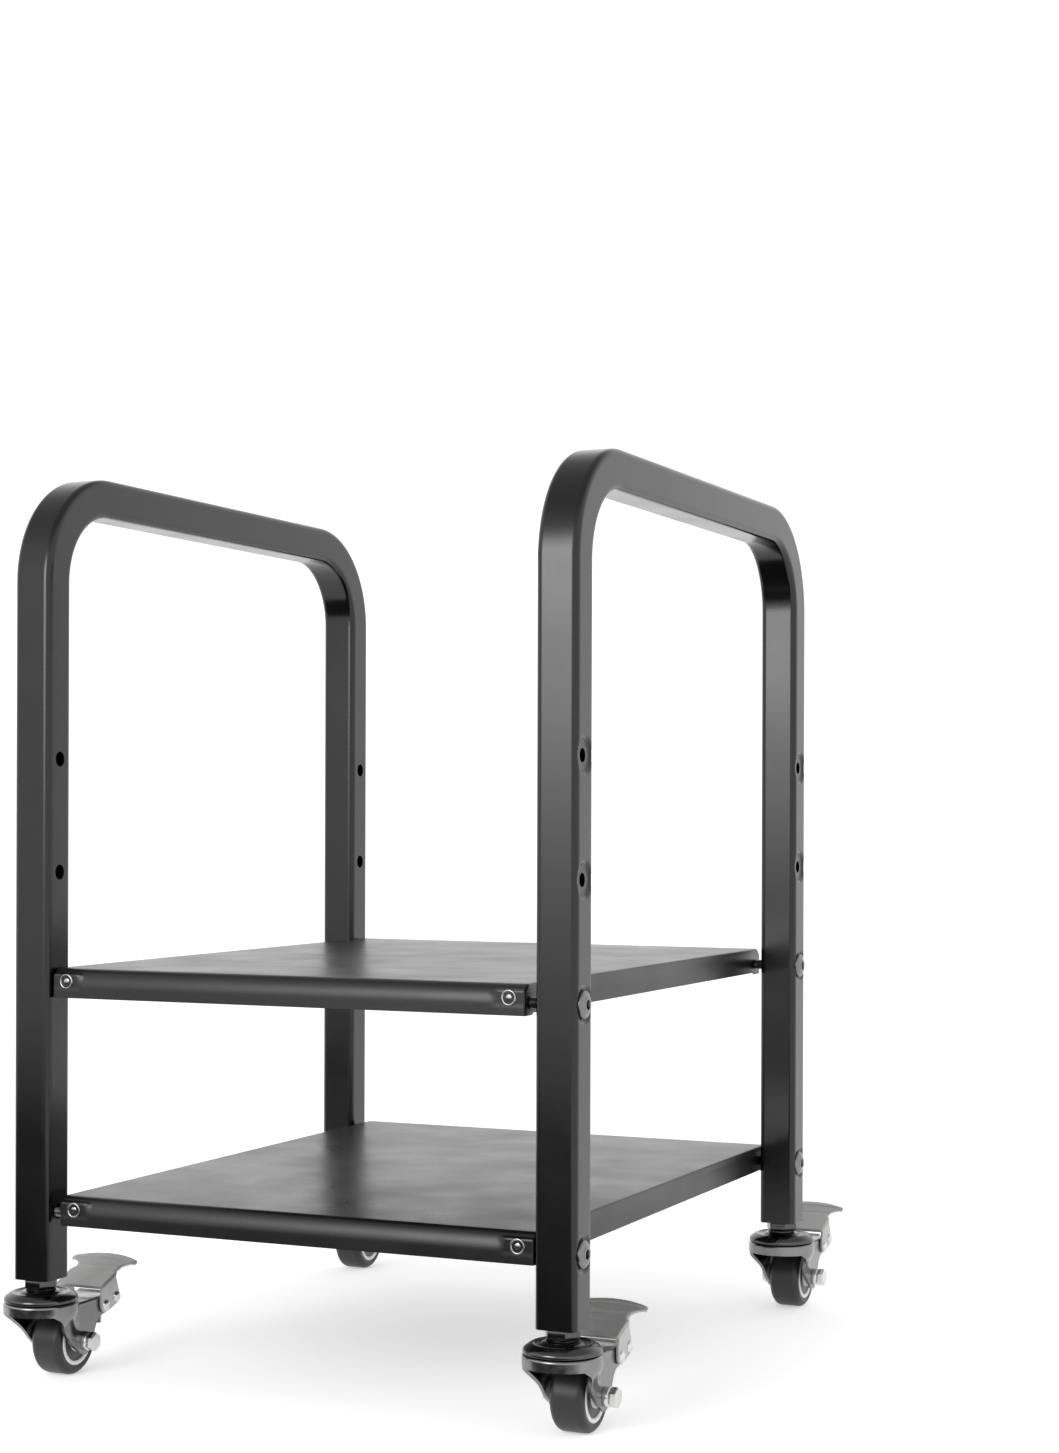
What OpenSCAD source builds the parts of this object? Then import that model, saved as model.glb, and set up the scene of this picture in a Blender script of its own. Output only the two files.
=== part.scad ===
// Two-tier rolling stand for a computer tower: two bent-tube side frames, two folded
// sheet-metal shelves bolted between them, and four swivel casters with foot brakes.
// Millimetres, +X right, +Y to the back, +Z up, floor at z = 0.

/* [Side frames] */
// Width across the outer faces of the two side frames
frame_w = 324; // [322:0.5:326]
// Depth of a side frame, front face to back face
frame_d = 361; // [340:1:420]
// Height of the top bars above the floor
frame_h = 485; // [470:1:600]
// Tube size, left to right
tube_x = 22; // [21:0.5:23]
// Tube size, in the plane of the frame
tube_y = 21; // [20:0.5:22]
// Tube wall thickness
tube_wall = 1.2; // [1:0.1:1.5]
// Outer corner radius of the tube section
tube_corner = 3.5; // [3:0.1:4]
// Outer radius of the two top bends
bend_r = 60; // [50:1:80]

/* [Shelves] */
// Width of a shelf over its side flanges
shelf_w = 272.8; // [270:0.1:274]
// Distance from the front face of the legs to the front face of a shelf
shelf_setback = 2.8; // [1:0.1:4]
// Sheet thickness
sheet = 1.2; // [1:0.1:1.4]
// Height of the front and back flanges
front_flange = 15.5; // [15:0.5:18]
// Height of the side flanges
side_flange = 14.5; // [13.5:0.5:15]
// Sideways shift: the upper shelf lies to the left in its holes, the lower to the right
shelf_shift = 2.5; // [0:0.1:2.5]
// Height of the lower shelf's bolts above the floor
lower_bolt_z = 91; // [85:1:110]
// Vertical pitch of the height-adjustment holes
hole_pitch = 60; // [50:1:65]
// Depth of the bolts' axis below a shelf's top face
bolt_drop = 9.5; // [9:0.1:10]

/* [Casters] */
// Height from the floor to the bottom of the legs
caster_h = 55; // [54:0.5:60]
// Wheel radius over the tyre
wheel_r = 18.5; // [17.5:0.1:18.5]
// Tyre width
tyre_w = 18.5; // [16:0.1:19]
// Distance from the swivel axis back to the axle
trail = 21; // [20.5:0.1:21.5]

/* [Hidden] */
$fn = 64;
LEGS = ["front_left", "front_right", "back_left", "back_right"];
CASTER_NODES = ["bearing_cap", "bearing_balls", "fork", "axle_bolt", "axle_nut",
                "axle_sleeve", "wheel_hub", "tyre", "brake_pedal", "pivot_pin",
                "brake_pin", "brake_shoe"];

// Radial gaps: a slip fit, and a thread that is drawn as a plain shank
slip = 0.06;
thread_gap = 0.05;

// Leg centres, shelf tops and the heights of the holes
leg_x = (frame_w - tube_x) / 2;
leg_y = (frame_d - tube_y) / 2;
upper_bolt_z = lower_bolt_z + 2 * hole_pitch;
lower_top = lower_bolt_z + bolt_drop;
upper_top = upper_bolt_z + bolt_drop;
hole_heights = [lower_bolt_z, upper_bolt_z, upper_bolt_z + hole_pitch,
                upper_bolt_z + 2 * hole_pitch];

// Dimple pressed round each hole of the outer wall
dimple_depth = 1.6;
dimple_floor_r = 7.4;
dimple_mouth_r = 9.2;
outer_hole_r = 3.5;
inner_hole_r = 4;

// M6 leg bolt with a low domed head
bolt_r = 3;
bolt_len = 32;
bolt_head_r = 7;
bolt_head_h = 3.6;
bolt_dome_r = 14;

// Soft front and back edge of a shelf: a wide arc that tightens into the top
edge_r1 = 15;
edge_r2 = 5;
edge_turn = 30;
side_bend_r = 2;
shelf_d = frame_d - 2 * shelf_setback;

// Tubular rivets through a flat seat at each end of a front or back flange
rivet_in = 8.6;
rivet_drop = 6.8;
rivet_r = 3.2;
rivet_grip = 2 * sheet + 0.1;
rivet_flare_r = 4;
seat_w = 14.5;
seat_h = 7.4;
seat_sink = 0.15;

// Stem of a caster
stem_r = 5;
stem_len = 18;
collar_z = 48.6;
collar_h = 1.4;
king_pin_r = 4;
crown_z = 38.2;

// Caster in its own frame: swivel axis on z, wheel trailing towards +Y
axle_z = wheel_r;
axle_r = 3;
sleeve_r = 4;
hub_r = 13.4;
fork_in = 12;
fork_t = 1.8;
fork_out = fork_in + fork_t;
race_r = 20.2;
ball_r = 1.6;
ball_ring_r = 14.6;
ball_count = 16;
pin_r = 1.5;
pivot = [38, 34.5];
shoe_pin = [48.5, 37.5];
pedal_in = fork_out + 0.3;
pedal_t = 1.5;
pedal_out = pedal_in + pedal_t;
deck_root = [35, 43.6];
deck_tilt = 22;
deck_len = 33;
deck_half = 21;
nut_end = 21;

// The stand is centred on its own box, from the front races to the back pedals
reach_back = deck_root[0] + deck_len * cos(deck_tilt);
centre_shift = [0, (race_r - reach_back) / 2, 0];

// ---------------------------------------------------------------- side frames

// Rounded rectangle with true arcs at its corners
module round_rect(w, h, r) {
    square([w - 2 * r, h], center = true);
    square([w, h - 2 * r], center = true);
    for (i = [-1, 1], j = [-1, 1])
        translate([i * (w / 2 - r), j * (h / 2 - r)]) circle(r);
}

module tube_section() {
    difference() {
        round_rect(tube_x, tube_y, tube_corner);
        tube_bore();
    }
}

module tube_bore() {
    round_rect(tube_x - 2 * tube_wall, tube_y - 2 * tube_wall, tube_corner - tube_wall);
}

// Bend from the top of the back leg to the bar
module tube_bend() {
    translate([0, frame_d / 2 - bend_r, frame_h - bend_r]) rotate([90, 0, 90])
        rotate_extrude(angle = 90)
            translate([bend_r - tube_y / 2, 0]) rotate(90) tube_section();
}

module bent_tube() {
    for (j = [-1, 1]) translate([0, j * leg_y, caster_h])
        linear_extrude(frame_h - bend_r - caster_h) tube_section();
    translate([0, frame_d / 2 - bend_r, frame_h - tube_y / 2]) rotate([90, 0, 0])
        linear_extrude(frame_d - 2 * bend_r) tube_section();
    tube_bend();
    mirror([0, 1, 0]) tube_bend();
}

// Sheet behind a dimple; the z axis points out of the leg
module dimple_floor() {
    translate([0, 0, tube_x / 2 - dimple_depth - tube_wall])
        cylinder(r = dimple_mouth_r - 0.4, h = dimple_depth + 0.1);
}

module dimple_and_holes() {
    translate([0, 0, tube_x / 2 - dimple_depth])
        cylinder(r1 = dimple_floor_r, r2 = dimple_mouth_r, h = dimple_depth);
    cylinder(r = outer_hole_r, h = tube_x);
    translate([0, 0, -tube_x]) cylinder(r = inner_hole_r, h = tube_x);
}

module side_frame(side) {
    color([0.09, 0.09, 0.095]) translate([side * leg_x, 0, 0]) difference() {
        union() {
            bent_tube();
            for (j = [-1, 1], z = hole_heights)
                translate([0, j * leg_y, z]) rotate([0, 90 * side, 0]) dimple_floor();
        }
        for (j = [-1, 1], z = hole_heights)
            translate([0, j * leg_y, z]) rotate([0, 90 * side, 0]) dimple_and_holes();
    }
}

module side_frame_left() { side_frame(-1); }
module side_frame_right() { side_frame(1); }

// -------------------------------------------------------------------- shelves

// Front-to-back outline of a shelf, its top at 0; inset is the depth inside the sheet
module edge_outline(inset) {
    r1 = edge_r1 - inset;
    r2 = edge_r2 - inset;
    half = shelf_d / 2 - inset;
    step = edge_r1 - edge_r2;
    arc_y = half - r1 + step * cos(edge_turn);
    arc_z = -edge_r2;
    low_z = arc_z - step * sin(edge_turn);
    for (s = [0, 1]) mirror([s, 0]) {
        translate([0, -front_flange - 1]) square([arc_y, front_flange + 1 - inset]);
        translate([0, -front_flange - 1]) square([half, front_flange + 1 + low_z]);
        translate([arc_y, arc_z]) circle(r2);
        intersection() {
            translate([half - r1, low_z]) circle(r1, $fn = 128);
            translate([arc_y, low_z]) square([r1, arc_z - low_z + r2 * sin(edge_turn)]);
        }
    }
}

// Left-to-right outline with tight bends
module side_outline(inset) {
    r = side_bend_r - inset;
    half = shelf_w / 2 - inset;
    translate([-half, -front_flange - 1]) square([2 * half, front_flange + 1 - side_bend_r]);
    translate([r - half, -side_bend_r]) square([2 * (half - r), r]);
    for (s = [-1, 1]) translate([s * (half - r), -side_bend_r]) circle(r);
}

// Solid with the outer or the inner faces of a shelf, its top at z = 0
module shelf_solid(inset) {
    intersection() {
        rotate([90, 0, 90]) linear_extrude(shelf_w, center = true) edge_outline(inset);
        rotate([90, 0, 0]) linear_extrude(shelf_d, center = true) side_outline(inset);
        translate([0, 0, -front_flange - inset]) linear_extrude(front_flange + inset)
            round_rect(shelf_w - 2 * inset, shelf_d - 2 * inset, side_bend_r - inset);
    }
}

// Runs its children at the four rivets of a shelf, z pointing into the flange
module at_rivets() {
    for (i = [-1, 1], j = [0, 1]) mirror([0, j, 0])
        translate([i * (shelf_w / 2 - rivet_in), -shelf_d / 2, -rivet_drop])
            rotate([-90, 0, 0]) children();
}

// Runs its children at the four bolts of a shelf, z pointing outwards
module at_side_bolts() {
    for (i = [-1, 1], j = [-1, 1])
        translate([i * shelf_w / 2, j * leg_y, -bolt_drop]) rotate([0, 90 * i, 0]) children();
}

// Boxes over the four rivet seats, between two depths behind the flange's face
module seat_boxes(near, far) {
    for (i = [-1, 1], j = [-1, 1])
        translate([i * (shelf_w - seat_w) / 2,
                   j * (shelf_d / 2 - (near + far) / 2), -rivet_drop])
            cube([seat_w, far - near, seat_h], center = true);
}

// Flat seat for each rivet, and the corner tab of the side flange that it holds
module rivet_seats() {
    intersection() {
        union() {
            seat_boxes(seat_sink, seat_sink + rivet_grip);
            for (i = [-1, 1], j = [-1, 1])
                translate([i * (shelf_w - 2 * seat_w) / 2,
                           j * (shelf_d / 2 - 1.5 * sheet), -9])
                    cube([2 * seat_w - 4, sheet, 9], center = true);
        }
        translate([0, 0, -front_flange]) linear_extrude(front_flange)
            round_rect(shelf_w, shelf_d, side_bend_r);
    }
}

module shelf_tray() {
    difference() {
        union() {
            difference() {
                shelf_solid(0);
                shelf_solid(sheet);
            }
            rivet_seats();
        }
        translate([0, 0, -front_flange - 1]) linear_extrude(front_flange - side_flange + 1)
            square([shelf_w + 2, 2 * leg_y - 24], center = true);
        seat_boxes(-1, seat_sink);
        at_rivets() {
            cylinder(r = rivet_r + slip, h = 12, center = true);
            translate([0, 0, seat_sink + rivet_grip]) cylinder(r = rivet_flare_r + slip, h = 2);
        }
        at_side_bolts() cylinder(r = bolt_r + 0.3, h = 8, center = true);
    }
}

module upper_shelf() {
    color([0.11, 0.11, 0.115]) translate([-shelf_shift, 0, upper_top]) shelf_tray();
}

module lower_shelf() {
    color([0.11, 0.11, 0.115]) translate([shelf_shift, 0, lower_top]) shelf_tray();
}

module at_shelves() {
    translate([-shelf_shift, 0, upper_top]) children();
    translate([shelf_shift, 0, lower_top]) children();
}

// Tubular rivet: rolled ring outside, tube through both sheets, flare inside
module rivet() {
    ring_r = 0.75;
    flare_t = 0.4;
    inner_face = seat_sink + rivet_grip;
    rotate_extrude() {
        translate([rivet_r - 0.7, -ring_r]) square([0.7, ring_r + inner_face + flare_t]);
        translate([rivet_r, seat_sink - ring_r]) circle(ring_r);
        translate([rivet_r - 0.7, inner_face])
            square([rivet_flare_r - rivet_r + 0.7, flare_t]);
        translate([0, 1]) square([rivet_r, 0.8]);
    }
}

module shelf_rivets() {
    color([0.35, 0.35, 0.36]) at_shelves() at_rivets() rivet();
}

// Round weld nuts inside the side flanges
module shelf_nuts() {
    color([0.55, 0.55, 0.56]) at_shelves() at_side_bolts()
        translate([0, 0, -sheet - 3]) difference() {
            cylinder(r = 4.8, h = 3);
            translate([0, 0, -1]) cylinder(r = bolt_r + thread_gap, h = 5);
        }
}

// Bolt with its head's underside at z = 0 and its shank towards -z
module leg_bolt() {
    difference() {
        union() {
            intersection() {
                cylinder(r = bolt_head_r, h = bolt_head_h);
                translate([0, 0, bolt_head_h - bolt_dome_r]) sphere(bolt_dome_r, $fn = 96);
            }
            translate([0, 0, -bolt_len]) cylinder(r = bolt_r, h = bolt_len + 0.5);
        }
        translate([0, 0, 1.2]) cylinder(r = 2.6, h = bolt_head_h, $fn = 6);
    }
}

module leg_bolts() {
    color([0.12, 0.12, 0.13])
        for (i = [-1, 1], j = [-1, 1], z = [lower_bolt_z, upper_bolt_z])
            translate([i * (frame_w / 2 - dimple_depth), j * leg_y, z])
                rotate([0, 90 * i, 0]) leg_bolt();
}

// -------------------------------------------------------- fixed caster fittings

module at_legs() {
    for (i = [-1, 1], j = [-1, 1]) translate([i * leg_x, j * leg_y, 0]) children();
}

// Threaded plug fixed inside the foot of each leg
module leg_inserts() {
    color([0.45, 0.45, 0.46]) at_legs() translate([0, 0, caster_h]) difference() {
        linear_extrude(14) tube_bore();
        translate([0, 0, -1]) cylinder(r = stem_r + thread_gap, h = 16);
    }
}

module lock_nuts() {
    nut_z = collar_z + collar_h;
    color([0.2, 0.2, 0.22]) at_legs() translate([0, 0, nut_z]) difference() {
        cylinder(d = 16 / cos(30), h = caster_h - nut_z, $fn = 6);
        translate([0, 0, -1]) cylinder(r = stem_r + thread_gap, h = 10);
    }
}

// Threaded stem with a collar on the cap and a riveted king pin below the fork
module caster_stems() {
    color([0.5, 0.5, 0.52]) at_legs() {
        translate([0, 0, collar_z]) cylinder(r = stem_r, h = stem_len);
        translate([0, 0, collar_z]) cylinder(r = 8, h = collar_h);
        translate([0, 0, crown_z - 1]) cylinder(r = king_pin_r, h = collar_z - crown_z + 2);
        translate([0, 0, crown_z - 1.9]) cylinder(r = 6.5, h = 1.8);
    }
}

// -------------------------------------------------------------- swivel bearing

// Pressed cap: boss, hollow, ridge and turned-down rim
module bearing_cap() {
    color([0.13, 0.13, 0.14]) rotate_extrude($fn = 96)
        polygon([[4.06, 47.2], [4.06, 48.6], [9.2, 48.6], [11.4, 47.2], [13.2, 47.2],
                 [14.6, 47.9], [16.2, 47.6], [18.4, 46.2], [19.6, 44.6], [19.6, 43.2],
                 [18.3, 43.2], [18.3, 44.3], [17.4, 45.4], [15.8, 46.4], [11, 45.7],
                 [8.8, 47.2]]);
}

module bearing_balls() {
    color([0.75, 0.75, 0.77]) for (k = [0 : ball_count - 1])
        rotate(k * 360 / ball_count) translate([ball_ring_r, 0, 42 + ball_r]) sphere(ball_r, $fn = 24);
}

// ----------------------------------------------------------------------- fork

// Side of the fork in the plane of the wheel
module fork_side_outline() {
    difference() {
        union() {
            polygon([[-12, 40], [-12, 37.6], [14.7, 14.4], [21, 12], [27.5, 14.8],
                     [29.4, 21], [32, 26.5], [36, 29.6], [40.5, 30.2], [43, 33], [43, 40]]);
            translate([trail, axle_z]) circle(7.6);
        }
        translate([trail, axle_z]) circle(axle_r + slip);
        translate(pivot) circle(pin_r + slip);
    }
}

// Raceway pan on top of the fork
module race_pan() {
    rotate_extrude($fn = 96)
        polygon([[king_pin_r + 0.3, crown_z + 1], [king_pin_r + 0.3, 41.9], [17.2, 41.9],
                 [17.8, 42.5], [19.6, 42.5], [race_r, 41.6], [race_r, 39.6],
                 [19.2, crown_z], [17, crown_z], [17, crown_z + 1]]);
}

// Rounded front that runs from the pan down into one side of the fork
module fork_shoulder(side) {
    intersection() {
        difference() {
            translate([0, 0, 31]) cylinder(r = 19.6, h = 8, $fn = 96);
            translate([0, 0, 30]) cylinder(r = 18, h = 10, $fn = 96);
        }
        rotate([90, 0, 90]) linear_extrude(60, center = true)
            polygon([[-12, 39], [-12, 37.6], [-4.4, 31], [13, 31], [13, 39]]);
        translate([side * (fork_in + 15), 0, 35]) cube([30, 60, 20], center = true);
    }
}

module fork() {
    color([0.3, 0.3, 0.32]) difference() {
        union() {
            race_pan();
            translate([-fork_out, 0, crown_z]) cube([2 * fork_out, 43, fork_t]);
            for (s = [-1, 1]) {
                translate([s * (fork_in + fork_t / 2), 0, 0]) rotate([90, 0, 90])
                    linear_extrude(fork_t, center = true) fork_side_outline();
                fork_shoulder(s);
            }
        }
        translate([0, 0, crown_z - 5]) cylinder(r = king_pin_r + 0.3, h = 20);
    }
}

// ---------------------------------------------------------------------- wheel

// Cylinder along +X on the axle's line
module on_axle(x, r, h, sides = 64) {
    translate([x, trail, axle_z]) rotate([0, 90, 0]) cylinder(r = r, h = h, $fn = sides);
}

module axle_bolt() {
    color([0.7, 0.7, 0.72]) {
        on_axle(-fork_out, axle_r, nut_end - 0.4 + fork_out);
        on_axle(-fork_out - 4, 5 / cos(30), 4, 6);
    }
}

// Nut with a round flange against the fork
module axle_nut() {
    flange_t = 3.2;
    color([0.78, 0.78, 0.8]) difference() {
        union() {
            on_axle(fork_out, 5, flange_t);
            on_axle(fork_out + flange_t, 4.4 / cos(30), nut_end - fork_out - flange_t, 6);
        }
        on_axle(fork_out - 1, axle_r + thread_gap, 20);
    }
}

module axle_sleeve() {
    sleeve_len = 2 * fork_in - 0.1;
    color([0.6, 0.6, 0.62]) difference() {
        on_axle(-sleeve_len / 2, sleeve_r, sleeve_len);
        on_axle(-sleeve_len / 2 - 1, axle_r + slip, sleeve_len + 2);
    }
}

module wheel_hub() {
    bore_r = sleeve_r + slip;
    color([0.82, 0.82, 0.84]) translate([0, trail, axle_z]) rotate([0, 90, 0])
        rotate_extrude($fn = 96) {
            translate([bore_r, -6.6]) square([hub_r - bore_r, 13.2]);
            translate([11.4, -8.8]) square([hub_r - 11.4, 17.6]);
            translate([bore_r, -11.5]) square([1.8, 23]);
        }
}

module tyre() {
    shoulder_r = 2.5;
    tread_r = wheel_r - shoulder_r;
    color([0.16, 0.16, 0.17]) translate([0, trail, axle_z]) rotate([0, 90, 0])
        rotate_extrude($fn = 128) {
            translate([hub_r, -tyre_w / 2]) square([tread_r - hub_r, tyre_w]);
            translate([hub_r, shoulder_r - tyre_w / 2])
                square([wheel_r - hub_r, tyre_w - 2 * shoulder_r]);
            for (s = [-1, 1]) translate([tread_r, s * (tyre_w / 2 - shoulder_r)])
                circle(shoulder_r);
        }
}

// ---------------------------------------------------------------------- brake

// Deck of the pedal in its own plane: broad root, neck and a flared convex end
module deck_outline() {
    end_r = 46;
    root = pedal_out - 0.4;
    intersection() {
        polygon([[-root, 0], [root, 0], [root, 15], [13.4, 18.5], [13.8, 21],
                 [deck_half, 27.5], [deck_half, 40], [-deck_half, 40],
                 [-deck_half, 27.5], [-13.8, 21], [-13.4, 18.5], [-root, 15]]);
        translate([0, deck_len - end_r]) circle(end_r, $fn = 128);
    }
}

module brake_pedal() {
    color([0.4, 0.4, 0.42]) {
        translate([0, deck_root[0], deck_root[1]]) rotate([deck_tilt, 0, 0])
            linear_extrude(pedal_t) deck_outline();
        for (s = [-1, 1])
            translate([s * (pedal_in + pedal_t / 2), 0, 0]) rotate([90, 0, 90])
                linear_extrude(pedal_t, center = true) difference() {
                    polygon([[35.3, 44.5], [33.8, 37], [35, 32.2], [38, 30.8], [42, 31.6],
                             [51, 34.6], [52.4, 37.5], [50.8, 41], [47.7, 49.5]]);
                    translate(pivot) circle(pin_r + slip);
                    translate(shoe_pin) circle(pin_r + slip);
                }
    }
}

// Pin across the fork or the pedal with a domed head at each end
module cross_pin(at) {
    translate([0, at[0], at[1]]) rotate([0, 90, 0]) {
        cylinder(r = pin_r, h = 2 * pedal_out + 1, center = true);
        for (s = [0, 1]) mirror([0, 0, s]) intersection() {
            translate([0, 0, pedal_out - 2.1]) sphere(3.7, $fn = 48);
            translate([0, 0, pedal_out + 0.05]) cylinder(r = 4, h = 3);
        }
    }
}

module pivot_pin() {
    color([0.8, 0.8, 0.82]) cross_pin(pivot);
}

module brake_pin() {
    color([0.8, 0.8, 0.82]) cross_pin(shoe_pin);
}

// Steel shoe that hangs on the pin behind the tyre and is pushed onto the tread
module brake_shoe() {
    color([0.5, 0.5, 0.52]) rotate([90, 0, 90]) linear_extrude(18, center = true)
        difference() {
            union() {
                polygon([[42.1, 23.6], [43.4, 23.6], [44, 29], [48.6, 35.4], [47, 35.6],
                         [42.8, 30]]);
                translate(shoe_pin) circle(pin_r + 1.2);
            }
            translate(shoe_pin) circle(pin_r + slip);
        }
}

// ------------------------------------------------------------------- assembly

translate(centre_shift) {
    side_frame_left();
    side_frame_right();
    upper_shelf();
    lower_shelf();
    shelf_rivets();
    shelf_nuts();
    leg_bolts();
    leg_inserts();
    lock_nuts();
    caster_stems();
    for (leg = LEGS) translate([(leg == "front_left" || leg == "back_left" ? -1 : 1) * leg_x,
                                (leg == "front_left" || leg == "front_right" ? -1 : 1) * leg_y,
                                0]) {
        bearing_cap();
        bearing_balls();
        fork();
        axle_bolt();
        axle_nut();
        axle_sleeve();
        wheel_hub();
        tyre();
        brake_pedal();
        pivot_pin();
        brake_pin();
        brake_shoe();
    }
}
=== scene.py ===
"""A rolling stand for a computer tower, in black tube and folded sheet steel."""
import math

import bmesh
import bpy
from mathutils import Matrix, Vector


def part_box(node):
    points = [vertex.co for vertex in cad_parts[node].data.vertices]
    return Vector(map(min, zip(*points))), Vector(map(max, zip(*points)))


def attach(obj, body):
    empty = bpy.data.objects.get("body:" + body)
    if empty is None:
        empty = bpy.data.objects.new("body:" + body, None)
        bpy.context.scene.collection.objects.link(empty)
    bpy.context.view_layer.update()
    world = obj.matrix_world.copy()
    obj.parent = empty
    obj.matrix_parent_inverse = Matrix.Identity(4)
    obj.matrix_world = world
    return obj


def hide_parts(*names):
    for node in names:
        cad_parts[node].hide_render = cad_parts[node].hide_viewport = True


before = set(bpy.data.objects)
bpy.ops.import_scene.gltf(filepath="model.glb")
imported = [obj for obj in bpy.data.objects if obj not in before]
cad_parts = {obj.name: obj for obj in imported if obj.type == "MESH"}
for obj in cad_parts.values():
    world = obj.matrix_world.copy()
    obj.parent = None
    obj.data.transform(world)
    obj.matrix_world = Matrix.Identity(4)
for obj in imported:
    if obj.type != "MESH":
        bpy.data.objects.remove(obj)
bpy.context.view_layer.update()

# ------------------------------------------------------------------ camera and studio
# A long lens stands right of the stand at half its height. A tall softbox in front on
# the left draws the light down the black tubes, and a dark flag under it keeps their
# feet dark. The rest of the room is white.

MM = 0.001
low_corner, high_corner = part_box("side_frame_right")
frame_mid_y = (low_corner.y + high_corner.y) / 2

camera_data = bpy.data.cameras.new("camera")
camera_data.sensor_width = 36
camera_data.lens = 60.45
camera_data.shift_y = 0.0603
camera = bpy.data.objects.new("camera", camera_data)
camera.matrix_world = (
    Matrix.Translation((0.61254, frame_mid_y - 1.25298, 0.30257))
    @ Matrix.Rotation(math.radians(23.90), 4, "Z")
    @ Matrix.Rotation(math.radians(90), 4, "X")
    @ Matrix.Rotation(math.radians(0.18), 4, "Z")
)
bpy.context.scene.collection.objects.link(camera)
bpy.context.scene.camera = camera
bpy.context.scene.view_settings.view_transform = "Standard"


def to_linear(hex_colour):
    """Linear RGBA of an sRGB hex colour such as "#2a2a2d"."""
    values = [int(hex_colour[i:i + 2], 16) / 255 for i in (1, 3, 5)]
    return tuple(v / 12.92 if v < 0.04045 else ((v + 0.055) / 1.055) ** 2.4
                 for v in values) + (1.0,)


def add(tree, kind, links=(), **settings):
    """Adds a node, sets its properties or its inputs, and links (socket, input) pairs."""
    node = tree.nodes.new(kind)
    for key, value in settings.items():
        if hasattr(node, key):
            setattr(node, key, value)
        else:
            node.inputs[key.replace("_", " ")].default_value = value
    for socket, name in links:
        tree.links.new(socket, node.inputs[name])
    return node


def new_tree(data):
    data.use_nodes = True
    data.node_tree.nodes.clear()
    return data.node_tree


def to_mesh(builder, name):
    mesh = bpy.data.meshes.new(name)
    builder.to_mesh(mesh)
    builder.free()
    return mesh


def add_object(name, mesh):
    piece = bpy.data.objects.new(name, mesh)
    bpy.context.scene.collection.objects.link(piece)
    return piece


def card(name, centre, width, height, face, strength, fade, colour="#ffffff"):
    """A glowing or dark panel seen only in reflections; fade is its soft border's share."""
    mesh = bpy.data.meshes.new(name)
    half = 0.5
    mesh.from_pydata([(-half, -half, 0), (half, -half, 0), (half, half, 0), (-half, half, 0)],
                     [], [(0, 1, 2, 3)])
    panel = add_object(name, mesh)
    panel.location = centre
    panel.rotation_euler = Vector(face).to_track_quat("Z", "Y").to_euler()
    panel.scale = (width, height, 1)
    material = bpy.data.materials.new(name)
    tree = new_tree(material)
    place = add(tree, "ShaderNodeTexCoord").outputs["Object"]
    split = add(tree, "ShaderNodeSeparateXYZ", [(place, "Vector")])
    edges = []
    for axis, share in zip("XY", fade):
        size = add(tree, "ShaderNodeMath", [(split.outputs[axis], 0)], operation="ABSOLUTE")
        ramp = add(tree, "ShaderNodeMapRange", [(size.outputs[0], "Value")],
                   interpolation_type="SMOOTHSTEP")
        ramp.inputs["From Min"].default_value = 0.5 - share
        ramp.inputs["From Max"].default_value = 0.5
        ramp.inputs["To Min"].default_value = 1
        ramp.inputs["To Max"].default_value = 0
        edges.append(ramp.outputs["Result"])
    both = add(tree, "ShaderNodeMath", [(edges[0], 0), (edges[1], 1)], operation="MULTIPLY")
    glow = add(tree, "ShaderNodeEmission", Color=to_linear(colour), Strength=strength)
    clear = add(tree, "ShaderNodeBsdfTransparent")
    mix = add(tree, "ShaderNodeMixShader", [(both.outputs[0], 0), (clear.outputs[0], 1),
                                            (glow.outputs[0], 2)])
    add(tree, "ShaderNodeOutputMaterial", [(mix.outputs[0], "Surface")])
    mesh.materials.append(material)
    panel.visible_camera = False
    panel.visible_shadow = False
    return panel


card("softbox_front", (-0.34, -1.62, 0.75), 1.3, 1.25, (0.2, 1, -0.1), 8.6, (0.45, 0.45))
flag = card("flag_front", (-0.45, -0.88, 0.004), 1.7, 1.3, (0, 0, 1), 0.06, (0.1, 0.04))
flag.visible_diffuse = False

world = bpy.data.worlds.new("studio")
bpy.context.scene.world = world
tree = new_tree(world)
direction = add(tree, "ShaderNodeTexCoord").outputs["Generated"]
height = add(tree, "ShaderNodeSeparateXYZ", [(direction, "Vector")]).outputs["Z"]
room = add(tree, "ShaderNodeMapRange", [(height, "Value")], interpolation_type="SMOOTHSTEP")
room.inputs["From Min"].default_value = 0.45
room.inputs["From Max"].default_value = 0.85
room.inputs["To Min"].default_value = 1.2
room.inputs["To Max"].default_value = 0.5
sky = add(tree, "ShaderNodeBackground", [(room.outputs[0], "Strength")])
sky.inputs["Color"].default_value = (1, 1, 1, 1)
add(tree, "ShaderNodeOutputWorld", [(sky.outputs[0], "Surface")])

builder = bmesh.new()
bmesh.ops.create_circle(builder, cap_ends=True, segments=96, radius=1.7)
floor = add_object("floor", to_mesh(builder, "floor"))
floor_paper = bpy.data.materials.new("white_paper")
tree = new_tree(floor_paper)
place = add(tree, "ShaderNodeTexCoord").outputs["Object"]
reach = add(tree, "ShaderNodeVectorMath", [(place, 0)], operation="LENGTH").outputs["Value"]
fade = add(tree, "ShaderNodeMapRange", [(reach, "Value")], interpolation_type="SMOOTHSTEP")
fade.inputs["From Min"].default_value = 0.42
fade.inputs["From Max"].default_value = 1.6
paper = add(tree, "ShaderNodeBsdfDiffuse", Color=(0.93, 0.93, 0.93, 1))
lit_through = add(tree, "ShaderNodeEmission", Strength=0.44)
lit_paper = add(tree, "ShaderNodeAddShader", [(paper.outputs[0], 0),
                                              (lit_through.outputs[0], 1)])
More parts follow.
